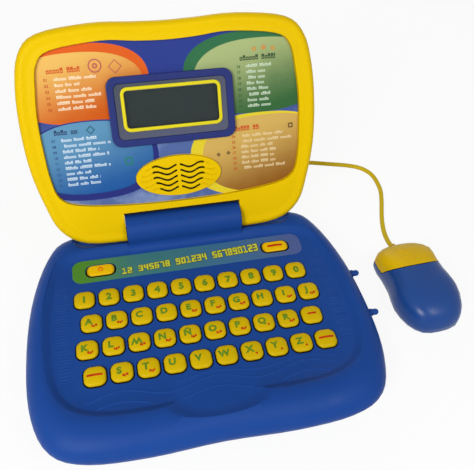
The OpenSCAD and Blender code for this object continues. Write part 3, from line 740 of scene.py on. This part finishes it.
# Each field: middle and half size of its band, the same of its fill, the fill from light to
# deep, the band, where its list starts, rows, longest line, ink of the list, of the title.
FIELDS = [
    ((-62, 110), (48, 27), (-64, 107.5), (46, 23.8), (226, 180, 92), (196, 84, 14), (212, 90, 26),
     (-80, 116), 6, 33, (240, 222, 190), (196, 66, 22)),
    ((-60, 56), (47, 29), (-61, 58), (44, 26.2), (90, 142, 176), (26, 82, 150), (36, 44, 116),
     (-81.5, 74), 9, 36, (206, 222, 234), (34, 48, 84)),
    ((62, 108), (52, 29), (66, 104), (49, 27.6), (162, 176, 118), (48, 96, 52), (44, 104, 66),
     (54, 114), 8, 23, (198, 216, 190), (32, 62, 36)),
    ((64, 48), (54, 31), (69, 48), (50, 29), (204, 168, 88), (136, 86, 26), (218, 198, 44),
     (47, 64), 7, 43, (226, 202, 156), (192, 66, 26)),
]
MARKS = [
    # middle, size, line, power, ink
    ((-50, 121.5), 4.2, 1.0, 2, (176, 70, 84)), ((-50, 121.5), 1.3, 1.1, 2, (176, 70, 84)),
    ((-36.5, 120), 4.4, 1.0, 1, (178, 84, 80)), ((-59, 78.2), 2.7, 1.2, 1, (30, 92, 104)),
    ((-35, 53), 2.4, 1.2, 5, (36, 120, 96)), ((62, 124), 1.0, 1.2, 2, (196, 140, 62)),
    ((69, 124.6), 1.0, 1.2, 2, (204, 122, 52)), ((76, 123.6), 1.0, 1.2, 2, (196, 140, 62)),
    ((87, 67), 1.4, 1.0, 5, (74, 48, 30)), ((31, 50.5), 1.0, 1.2, 1, (74, 48, 30)),
    ((38.5, 51), 1.0, 1.2, 1, (74, 48, 30)),
]
LIST_CORNER = 7  # the place of a list's corner in each row of FIELDS
sheet = Paint("printed_sheet")
across, up, _ = lid_place(sheet)
clouds = sheet.noise(38, 5, 0.6)
colour = sheet.mix(sheet.rise(up, 98, 62), rgb(40, 56, 132), rgb(78, 100, 154))
pale_clouds = sheet.rise(clouds, 0.45, 0.7) * sheet.rise(up, 90, 55) * 0.6
colour = sheet.mix(pale_clouds, colour, rgb(146, 164, 204))
for seed, field in enumerate(FIELDS):
    middle, half, fill_middle, fill_half, bright, deep, band = field[:LIST_CORNER]
    corner, rows, longest, pale, title = field[LIST_CORNER:]
    outer = oval(across, up, middle, half, 2.5)
    inner = oval(across, up, fill_middle, fill_half, 2.4)
    slope = (across - middle[0]) * 0.3 - (up - middle[1]) + (clouds - 0.5) * 14
    fill = sheet.mix(sheet.rise(slope, -26, 30), rgb(*bright), rgb(*deep))
    inside = 1 - sheet.rise(outer, 0.99, 1.01)
    colour = sheet.mix(inside, colour, rgb(*band))
    colour = sheet.mix((1 - sheet.rise(inner, 0.99, 1.01)) * inside, colour, fill)
    lines = list_lines(sheet, across, up, corner, rows, longest, 11 * seed + 3)
    colour = sheet.mix(lines * 0.85, colour, rgb(*pale))
    above = (corner[0] - 5, corner[1] + 6.4)
    head = list_lines(sheet, across, up, above, 1, 31, 7 * seed + 5, pitch=6.6, wide=2.3)
    colour = sheet.mix(head * 0.9, colour, rgb(*title))
for middle, size, line, power, tone in MARKS:
    colour = sheet.mix(figure(across, up, middle, size, line, power) * 0.85, colour, rgb(*tone))
sheet.set(Base_Color=colour, Specular_IOR_Level=0.12, Roughness=sheet.noise(60, 4) * 0.12 + 0.32)
sheet.bump(sheet.noise(700, 2), 0.2, 0.00002)
give(nodes["panel_label"], sheet.material)
print("panel nodes:", len(sheet.tree.nodes))

# %% Number columns on the panel
rust_ink = ink("rust_ink", rgb(190, 88, 40), rgb(176, 74, 30))
navy_ink = ink("navy_ink", rgb(48, 80, 128), rgb(40, 68, 116))
moss_ink = ink("moss_ink", rgb(48, 92, 50), rgb(40, 80, 42))
NUMBER_SIZE = 2.7
PANEL_FACE = 1.5
COLUMNS = [
    # across, first number, how many, ink
    (-84, 1, 6, rust_ink), (-85.5, 7, 9, navy_ink), (50, 16, 8, moss_ink), (43, 24, 7, rust_ink),
]
for (x, first, count, finish), field in zip(COLUMNS, FIELDS):
    words = "\n".join(f"{first + k:02d}" for k in range(count))
    column = lettering(words, NUMBER_SIZE, 0.08, 0.06, LIST_PITCH / NUMBER_SIZE)
    top = field[LIST_CORNER][1]
    middle = top - LIST_PITCH * (count - 1) / 2 - 1.5
    settle(column, ON_LID_MM @ Matrix.Translation((x, middle, PANEL_FACE)))
    hand_over(column, "list_numbers_" + str(first), "lid", finish)

# %% [markdown]
# ## The display
#
# A blue frame holds a clear window. The window is printed grey round its edge, and a raised
# yellow bead runs round the clear middle, with the dark display glass below it.

# %% Frame, window and glass
surround = bevelled_copy("screen_frame", "screen_surround", 0.9, 50, 4)
hand_over(surround, "screen_surround", "lid", frame_blue)
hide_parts("screen_frame")

window = Paint("clear_window")
across, up, _ = lid_place(window)
clear = (abs(across) < 33.6) * (abs(up - 89.2) < 13.6)
# The print round the window is grey; its darkening towards the top left is painted shade.
band = window.mix(window.rise(across * 0.4 - up, -125, -60), rgb(66, 72, 84), rgb(78, 82, 104))
window.set(Base_Color=window.mix(clear, band, rgb(44, 54, 54)), Alpha=1 - clear * 0.8)
window.set(Roughness=window.noise(70, 4) * 0.1 + 0.1, Specular_IOR_Level=0.3)
give(nodes["screen_window"], window.material)

glass = Paint("display_glass")
CELLS_PER_MM = 1.6
inside_cell = []
for along in lid_place(glass)[:2]:
    count = along * CELLS_PER_MM
    inside_cell.append(abs(count - count.maths("ROUND", count)) < 0.44)
cells = inside_cell[0] * inside_cell[1]
tone = glass.mix(glass.rise(glass.noise(30, 3), 0.3, 0.7), rgb(46, 57, 58), rgb(54, 64, 64))
glass.set(Base_Color=glass.mix(cells * 0.25, tone, rgb(40, 50, 50)))
glass.set(Roughness=glass.noise(90, 3) * 0.1 + 0.14, Specular_IOR_Level=0.25)
give(nodes["lcd_module"], glass.material)


# %% The yellow bead
def outline_bead(width, height, radius, line_width, tall):
    """A closed bead that follows a rounded rectangle, in millimetres."""
    bead = rounded_face(width, height, radius, 6)
    raise_ring(line_width, tall)
    return bead


bead = outline_bead(71.2, 31.4, 5, 2.5, 1.3)
settle(bead, ON_LID_MM @ Matrix.Translation((0, 90, 4.2)))
apply_modifier(
    bead, "BEVEL", width=0.8 * MM, segments=3, limit_method="ANGLE", angle_limit=math.radians(50),
)
smooth(bead, 40)
hand_over(bead, "screen_bead", "lid", bead_yellow)
print("bead faces:", len(bead.data.polygons))

# %% [markdown]
# ## The title strip and the two oblong buttons
#
# A thin printed strip lies behind the keys. It shades from green to blue and carries a row
# of block figures, built from cells. Their dark outline is the same figures, fatter and just
# below them.

# %% The strip
STRIP_Y, DECK_Z = 51, 30
SHADES = [
    # where the next shade begins and is reached, in metres from the middle, and the shade
    (-0.085, -0.03, (62, 118, 120)), (-0.02, 0.045, (62, 106, 146)), (0.03, 0.085, (74, 92, 148)),
]
strip_paint = Paint("title_strip")
side = strip_paint.add("ShaderNodeSeparateXYZ", None, {0: strip_paint.place()})
swirl = (strip_paint.noise(26, 4) - 0.5) * 0.03
shade = rgb(76, 132, 44)
for begin, reached, tone in SHADES:
    shade = strip_paint.mix(strip_paint.rise(side + swirl, begin, reached), shade, rgb(*tone))
strip_paint.set(Base_Color=shade, Specular_IOR_Level=0.12)
strip_paint.set(Roughness=strip_paint.noise(80, 3) * 0.12 + 0.34)
strip = tablet(172, 21.3, 7, 0.3, 6)
for x in (-PILL_X, PILL_X):
    cutter = tablet(22.4, 12, 5.1, 4, 5)
    shift(cutter, x, -0.5)
    apply_modifier(strip, "BOOLEAN", operation="DIFFERENCE", object=cutter)
    bpy.data.objects.remove(cutter)
settle(strip, Matrix.Translation((0, STRIP_Y * MM, DECK_Z * MM)) @ Matrix.Scale(MM, 4))
hand_over(strip, "title_strip", "base", strip_paint.material)

# %% Block figures on the strip
CELLS = {
    "0": "111 101 101 101 111", "1": "110 010 010 010 111", "2": "111 001 111 100 111",
    "3": "111 001 111 001 111", "4": "101 101 111 001 001", "5": "111 100 111 001 111",
    "6": "111 100 111 101 111", "7": "111 001 001 001 001", "8": "111 101 111 101 111",
    "9": "111 101 111 001 111",
}


def block_figure(figure, grow, depth):
    """A heavy figure in millimetres: a grid of three by five cells without the empty ones."""
    bpy.ops.mesh.primitive_grid_add(x_subdivisions=3, y_subdivisions=5, size=1)
    block = bpy.context.object
    rows = CELLS[figure].split()
    bpy.ops.object.mode_set(mode="EDIT")
    bpy.ops.mesh.select_mode(type="FACE")
    bpy.ops.mesh.select_all(action="DESELECT")
    bpy.ops.object.mode_set(mode="OBJECT")
    for face in block.data.polygons:
        face.select = rows[2 - round(face.center.y * 5)][round(face.center.x * 3) + 1] == "0"
    lines_x = [-1.7 - grow, -0.42 + grow, 0.42 - grow, 1.7 + grow]
    lines_y = [-2.95 - grow, -1.72 + grow, -0.62 - grow, 0.62 + grow, 1.72 - grow, 2.95 + grow]
    for vertex in block.data.vertices:
        vertex.co.x = lines_x[round((vertex.co.x + 0.5) * 3)]
        vertex.co.y = lines_y[round((vertex.co.y + 0.5) * 5)]
    bpy.ops.object.mode_set(mode="EDIT")
    bpy.ops.mesh.delete(type="FACE")
    bpy.ops.mesh.select_mode(type="VERT")
    bpy.ops.mesh.select_all(action="SELECT")
    pull(depth)
    close_up()
    return block


TITLE = "12 345678 901234 567890123"
TITLE_PITCH = 3.98
TITLE_LAYERS = [
    # name, how much fatter, height above the table, ink
    ("title_shadow", 0.3, 30.13, title_dark), ("title_figures", 0, 30.22, title_yellow),
]
for name, grow, height, finish in TITLE_LAYERS:
    models = {figure: block_figure(figure, grow, PRINT) for figure in CELLS}
    figures = []
    for k, figure in enumerate(TITLE):
        if figure == " ":
            continue
        block = twin(models[figure])
        middle = (k - (len(TITLE) - 1) / 2) * TITLE_PITCH
        for vertex in block.data.vertices:
            x = vertex.co.x + middle
            vertex.co = (x, vertex.co.y * (1.08 + 0.0031 * middle) + 0.057 * x, vertex.co.z)
        figures.append(block)
    for model in models.values():
        bpy.data.objects.remove(model)
    title = join(figures)
    settle(title, Matrix.Translation((0.001, 0.0495, height * MM)) @ Matrix.Scale(MM, 4))
    hand_over(title, name, "base", finish)
print("title figures:", len(figures))

# %% Signs on the oblong buttons
bpy.ops.mesh.primitive_torus_add(
    major_radius=1.6, minor_radius=0.36, major_segments=24, minor_segments=6,
)
ring = bpy.context.object
ring.scale = (1, 1, 0.3)
settle(ring)
stem = shift(tablet(0.7, 2.2, 0.2, PRINT, 2), 0, 1.3)
power_sign = join([give(ring, orange_ink), give(stem, orange_ink)])
cut_fields(power_sign, 1.5, 3)
lay_on_dome(power_sign, PILL_DOME, PILL_TOP, (-PILL_X, 50.5))
hand_over(power_sign, "power_sign", "power_button", orange_ink)
bar = give(tablet(11.4, 1.9, 0.5, PRINT, 3), red_ink)
cut_fields(bar, 1.6, 6.4)
lay_on_dome(bar, PILL_DOME, PILL_TOP, (PILL_X, 50.6))
hand_over(bar, "play_sign", "play_button", red_ink)


# %% [markdown]
# ## Moulded ripples and ridges
#
# Fine ridges run beside the keys, and soft ripples like waves cross the deck in front of
# them. They are a fraction of a millimetre high, but they catch the light, so they are real
# geometry: thin rods and swept lines, half sunk in the deck.

# %% Ridges beside the keys
def sunk_rod(length, radius, flat):
    """A thin rod along X, squashed to stand only a little proud."""
    lying = (0, math.pi / 2, 0)
    bpy.ops.mesh.primitive_cylinder_add(vertices=8, radius=radius, depth=length, rotation=lying)
    rod = bpy.context.object
    choose(rod)
    bpy.ops.object.transform_apply(location=False, rotation=True, scale=False)
    rod.scale = (1, 1, flat)
    bpy.ops.object.transform_apply(location=False, rotation=False, scale=True)
    return rod


MAIN_RIDGES = [36, 26.5, 17, 8, -2, -11.5, -20.5, -30, -39.5]
ROD = 10
rods = []
first = sunk_rod(ROD, 0.42, 0.7)
for side_of in (-1, 1):
    for k in range(33):
        y = 38 - k * 2.4
        near = min(abs(y - main) for main in MAIN_RIDGES)
        tall = 1.5 if near < 1.2 else 0.6
        inner = 89.6 + 0.8 * math.sin(1.9 * k)
        outer = 98.6 - max(0, -y - 25) * 0.16 + 0.5 * math.sin(2.7 * k)
        rod = twin(first)
        for vertex in rod.data.vertices:
            vertex.co.x = side_of * ((inner + outer) / 2) + vertex.co.x * (outer - inner) / ROD
            vertex.co.z = vertex.co.z * tall
            vertex.co.y += y
        rods.append(rod)
bpy.data.objects.remove(first)
ridges = join(rods)
settle(ridges, Matrix.Translation((0, 0, DECK_Z * MM)) @ Matrix.Scale(MM, 4))
smooth(ridges, 60)
hand_over(ridges, "deck_ridges", "base", blue_plastic)
print("ridges:", len(rods))


# %% Ripples in front of the keys
def swept(points, radius, flat):
    """A thin line through these points in millimetres, squashed in height."""
    path = bpy.data.curves.new("ripple", "CURVE")
    path.dimensions = "3D"
    path.bevel_depth = radius
    path.bevel_resolution = 1
    path.use_fill_caps = True
    run = path.splines.new("POLY")
    run.points.add(len(points) - 1)
    for point, place in zip(run.points, points):
        point.co = (*place, 1)
    sweep = bpy.data.objects.new("ripple", path)
    bpy.context.scene.collection.objects.link(sweep)
    choose(sweep)
    bpy.ops.object.convert(target="MESH")
    sweep.scale = (1, 1, flat)
    bpy.ops.object.transform_apply(location=False, rotation=False, scale=True)
    return sweep


RIPPLES = [
    # middle line, swing, left end, right end
    (-54, 3.3, -82, 82), (-61.3, 2.8, -28, 28), (-61.3, 2.8, 42, 76), (-61.3, 2.8, -76, -42),
    (-49.2, 2.0, -24, 84),
]
RIPPLE_LENGTH = 60
waves = []
for y, swing, left, right in RIPPLES:
    count = int((right - left) / 2)
    run = []
    for k in range(count + 1):
        x = left + (right - left) * k / count
        run.append((x, y + swing * math.cos(2 * math.pi * x / RIPPLE_LENGTH), 0))
    waves.append(swept(run, 0.7, 0.3))
ripples = join(waves)
settle(ripples, Matrix.Translation((0, 0, DECK_Z * MM)) @ Matrix.Scale(MM, 4))
smooth(ripples, 60)
hand_over(ripples, "deck_ripples", "base", blue_plastic)


# %% Moulded waves that go on from the slots of the grille
GRILLE_OUT, GRILLE_R = 4.6, 400
SLOT_PITCH, SLOT_WAVE = 4.2, 16.7
REACH = [19.2, 19.3, 19, 17.4, 15]
waves = []
for k, reach in enumerate(REACH):
    y = (2 - k) * SLOT_PITCH - 1.2
    limit = 31.5 * math.sqrt(1 - (y / 14.9) ** 2) - 3.4
    for side_of in (-1, 1):
        run = []
        for step in range(9):
            x = side_of * (reach + 1.3 + (limit - reach - 1.3) * step / 8)
            rise = y + 1.35 * math.cos(2 * math.pi * x / SLOT_WAVE)
            run.append((x, GRILLE_UP + rise, GRILLE_OUT - (x * x + rise * rise) / (2 * GRILLE_R)))
        waves.append(swept(run, 0.55, 1))
grille_waves = join(waves)
settle(grille_waves, ON_LID_MM)
smooth(grille_waves, 60)
hand_over(grille_waves, "grille_waves", "lid", yellow_plastic)

# %% [markdown]
# ## Small things at the hinge and on the mouse
#
# Two dark bars close the slit between the lid and the hinge barrel, and a thin dark ring fills
# the gap at each end of the barrel: both are painted shade, dark pieces where those gaps lie
# in shade. A row of small dots is moulded on the barrel. The mouse has an oval line on its
# button, which has to follow a curved face: rays are cast down to the face, and each point of
# the line is set at the height where its ray ends.

# %% Dark bars and rings of painted shade
BARREL_R, BARREL_HALF, SHADE_RING_THICK = 11.8, 43.2, 0.35
# Two dark bars fill the slit between the lid and the barrel: painted shade.
BARS = [
    # from and to up the lid, from and to out of it
    (12.5, 14.65, -1, 1.5), (13.4, 14.65, 1.5, 4.3),
]
bars = []
for up_from, up_to, out_from, out_to in BARS:
    bpy.ops.mesh.primitive_cube_add(size=1)
    bar = bpy.context.object
    bar.scale = (87.4, up_to - up_from, out_to - out_from)
    settle(bar)
    settle(bar, Matrix.Translation((0, (up_from + up_to) / 2, (out_from + out_to) / 2)))
    bars.append(bar)
slit = join(bars)
settle(slit, ON_LID_MM)
hand_over(slit, "hinge_slit_shade", "lid", painted_gap_shade)


def washer(radius, hole, thick):
    """A flat ring in millimetres round Z."""
    bpy.ops.mesh.primitive_circle_add(vertices=48, radius=radius, fill_type="NGON")
    ring = bpy.context.object
    bpy.ops.object.mode_set(mode="EDIT")
    bpy.ops.mesh.select_all(action="SELECT")
    raise_ring(radius - hole, thick)
    return ring


to_hinge = Matrix.Translation(HINGE) @ Matrix.Scale(MM, 4)
# Thin dark rings at the ends of the barrel: painted shade in the gaps there.
SHADE_RINGS = [("hinge_washer_left", -BARREL_HALF - SHADE_RING_THICK), ("hinge_washer_right", BARREL_HALF)]
for name, x in SHADE_RINGS:
    ring = washer(11.7, 3.6, SHADE_RING_THICK)
    settle(ring, to_hinge @ Matrix.Translation((x, 0, 0)) @ Matrix.Rotation(math.pi / 2, 4, "Y"))
    hand_over(ring, name, "base", painted_gap_shade)

# %% Dots on the barrel
DOT_PITCH, FIRST_DOT = 8.6, -38
DOT_ANGLE = math.radians(62)
dots = []
for k in range(6):
    bpy.ops.mesh.primitive_uv_sphere_add(segments=12, ring_count=8, radius=0.6)
    dot = bpy.context.object
    y, z = -BARREL_R * math.cos(DOT_ANGLE), BARREL_R * math.sin(DOT_ANGLE)
    place = Vector((FIRST_DOT + DOT_PITCH * k, y, z))
    settle(dot, to_hinge @ Matrix.Translation(place))
    dots.append(dot)
barrel_dots = join(dots)
smooth(barrel_dots, 60)
hand_over(barrel_dots, "barrel_dots", "base", frame_blue)

# %% The oval on the mouse button
ON_MOUSE = Matrix.Translation((0.1704, 0.0084, 0)) @ Matrix.Rotation(math.radians(2.5), 4, "Z")
ON_BUTTON = Matrix.Translation((-0.0035, 0.0195, 0)) @ Matrix.Rotation(math.radians(27), 4, "Z")
button_skin = bpy.data.objects["mouse_button_skin"]
run = []
for k in range(41):
    angle = 2 * math.pi * k / 40
    run.append((2.1 * math.cos(angle), 7.6 * math.sin(angle), 0))
emblem = swept(run, 0.45, 1)
settle(emblem, ON_MOUSE @ ON_BUTTON @ Matrix.Scale(MM, 4))
for vertex in emblem.data.vertices:
    x, y, z = vertex.co
    hit, spot = button_skin.ray_cast(Vector((x, y, 0.1)), Vector((0, 0, -1)))[:2]
    vertex.co.z = spot.z + z if hit else 0.02
smooth(emblem, 60)
hand_over(emblem, "mouse_oval", "mouse_click", mouse_yellow)

# %% The sleeve at the mouse's end of the cord
sleeve = washer(3.2, 2.6, 1.5)
way_in = (stops[-1] - stops[-2]).normalized()
along_cord = way_in.to_track_quat("Z", "Y").to_matrix().to_4x4()
start = Matrix.Translation(stops[-1] - way_in * 0.6 * MM)
settle(sleeve, start @ along_cord @ Matrix.Scale(MM, 4))
smooth(sleeve, 40)
hand_over(sleeve, "cord_sleeve", "mouse", mouse_yellow)

# %% [markdown]
# ## Other parts
#
# Screws, the circuit board, the rubber mat and the speaker hide inside. Each has a finish of
# its own, for whoever cuts the case open in a view.

# %% Inner parts
steel = Paint("screw_steel")
steel.set(Base_Color=steel.mix(steel.noise(400, 3), rgb(150, 150, 152), rgb(184, 184, 186)))
steel.set(Metallic=1.0)
steel.set(Roughness=steel.noise(900, 2) * 0.2 + 0.25)
board = plastic("circuit_board", rgb(34, 112, 62), rgb(24, 92, 48), 0.4)
rubber = plastic("dome_rubber", rgb(66, 60, 52), rgb(48, 44, 40), 0.6)
black = plastic("speaker_black", rgb(40, 40, 42), rgb(26, 26, 28), 0.55)
for node, finish in (
    ("battery_door", blue_plastic), ("case_screws", steel.material), ("main_board", board),
    ("key_mat", rubber), ("speaker", black),
):
    give(nodes[node], finish)

# %% [markdown]
# ## Floor and light
#
# The toy stands on a plain white table in soft studio light. Where the camera sees the
# floor, nine tenths of it is plain white and one tenth is lit, so it looks white while the
# shadow of the toy still shows. The same trick makes the sky white for the camera, though it
# lights the toy more softly.

# %% Floor and world
def seen(paint):
    """1 where the camera looks, straight, in a reflection or through glass, and 0 for light."""
    ways = ("Is Camera Ray", "Is Glossy Ray", "Is Transmission Ray")
    sight, glossy, through = [paint.add("ShaderNodeLightPath", out=way) for way in ways]
    return sight.maths("MAXIMUM", sight.maths("MAXIMUM", sight, glossy), through)


class Sky(Paint):
    """The world's node tree, with the same ways to add to it."""

    def __init__(self, world):
        world.use_nodes = True
        self.tree = world.node_tree
        self.shader = self.tree.nodes["Background"]


WHITE = (1, 1, 1, 1)
bpy.ops.mesh.primitive_plane_add(size=6)
floor = bpy.context.object
floor.name = "floor"
ground_paint = Paint("floor_white")
ground_paint.set(Base_Color=rgb(236, 236, 236), Roughness=0.9)
white = ground_paint.add("ShaderNodeEmission", None, {"Color": WHITE, "Strength": 1.0})
lit = Signal(ground_paint, ground_paint.shader.outputs[0])
layers = {0: seen(ground_paint) * 0.9, 1: lit, 2: white}
both = ground_paint.add("ShaderNodeMixShader", None, layers)
output = ground_paint.tree.nodes["Material Output"]
ground_paint.tree.links.new(both.socket, output.inputs["Surface"])
floor.data.materials.append(ground_paint.material)

world = bpy.data.worlds.new("studio")
bpy.context.scene.world = world
sky = Sky(world)
strength = {"Value": seen(sky), "To Min": 0.28, "To Max": 1.0}
sky.set(Color=WHITE, Strength=sky.add("ShaderNodeMapRange", None, strength))


# %% Lamps
def soft_lamp(name, place, target, size, watts):
    """A square area lamp that faces a point."""
    bpy.ops.object.light_add(type="AREA", location=place)
    lamp = bpy.context.object
    lamp.name = name
    lamp.data.size = size
    lamp.data.energy = watts
    lamp.rotation_euler = (Vector(target) - Vector(place)).to_track_quat("-Z", "Y").to_euler()


soft_lamp("key_lamp", (-0.5, -0.62, 0.66), (0, 0.05, 0.08), 0.35, 7.0)
soft_lamp("fill_lamp", (0.38, -0.62, 0.82), (0.1, 0.03, 0.03), 0.4, 3.4)
soft_lamp("back_lamp", (0.1, 1.1, 0.5), (0, 0.1, 0.08), 0.6, 2.2)
bpy.context.scene.view_settings.view_transform = "Standard"
